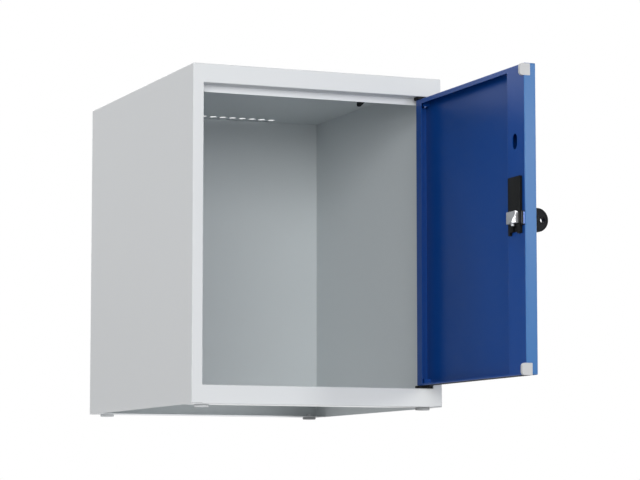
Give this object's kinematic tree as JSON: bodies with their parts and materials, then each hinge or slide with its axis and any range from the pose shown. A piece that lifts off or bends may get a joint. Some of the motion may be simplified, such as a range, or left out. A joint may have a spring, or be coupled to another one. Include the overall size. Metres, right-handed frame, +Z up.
{
  "type": "locker",
  "caption": "Small steel locker cabinet with a hinged door on the right, a turn handle that takes a padlock, a bolt, roof vents and low feet.",
  "frame": {"origin": "centre of the cabinet's footprint, on the floor that the feet stand on", "axes": "+Z up, -Y out of the front (the door opening), +X to the right seen from the front; the door is hinged on the +X side and stored open at 90 degrees"},
  "size_m": [0.4102, 0.8521, 0.504],
  "materials": {
    "body_paint": "light grey powder coat, semi-gloss",
    "door_paint": "gentian blue powder coat, semi-gloss",
    "black_plastic": "moulded, matte",
    "grey_plastic": "moulded, matte",
    "zinc": "zinc plated",
    "bolt_steel": "blued",
    "die_cast": "die-cast, tumbled",
    "glide_plastic": "moulded, matte"
  },
  "bodies": {
    "cabinet": {"left_side_panel": "body_paint", "right_side_panel": "body_paint", "roof_panel": "body_paint", "back_panel": "body_paint", "floor_panel": "body_paint", "left_stile": "body_paint", "right_stile": "body_paint", "top_rail": "body_paint", "bottom_rail": "body_paint", "rear_base_strip": "body_paint", "feet": "glide_plastic", "coat_hook": "black_plastic", "lower_hinge_bush": "black_plastic", "upper_hinge_bush": "black_plastic", "lower_hinge_pin": "bolt_steel"},
    "door": {"door_panel": "door_paint", "lock_stiffener": "door_paint", "lower_pivot_block": "door_paint", "upper_pivot_block": "door_paint", "upper_hinge_pin": "bolt_steel", "lower_buffer": "grey_plastic", "upper_buffer": "grey_plastic", "lock_case": "black_plastic", "bolt_guide": "black_plastic", "lock_rosette": "black_plastic", "lock_nut": "zinc"},
    "handle": {"turn_grip": "black_plastic", "spindle": "zinc", "drive_cam": "die_cast", "cam_set_screw": "zinc", "drive_pin": "zinc"},
    "bolt": {"bolt": "bolt_steel"}
  },
  "joints": [
    {"name": "door_hinge", "type": "hinge", "parent": "cabinet", "child": "door", "pos_m": [0.176, -0.2445, 0.25345], "axis": [0, 0, 1], "range_deg": [-90, 20]},
    {"name": "handle_turn", "type": "hinge", "parent": "door", "child": "handle", "pos_m": [0.1815, -0.575, 0.25345], "axis": [1, 0, 0], "range_deg": [0, 90]},
    {"name": "bolt_slide", "type": "slide", "parent": "door", "child": "bolt", "axis": [0, -1, 0], "range_m": [0, 0.01415]}
  ],
  "couplings": [
    {"joint": "bolt_slide", "follows": "handle_turn", "m_per_rad": 0.009003}
  ]
}
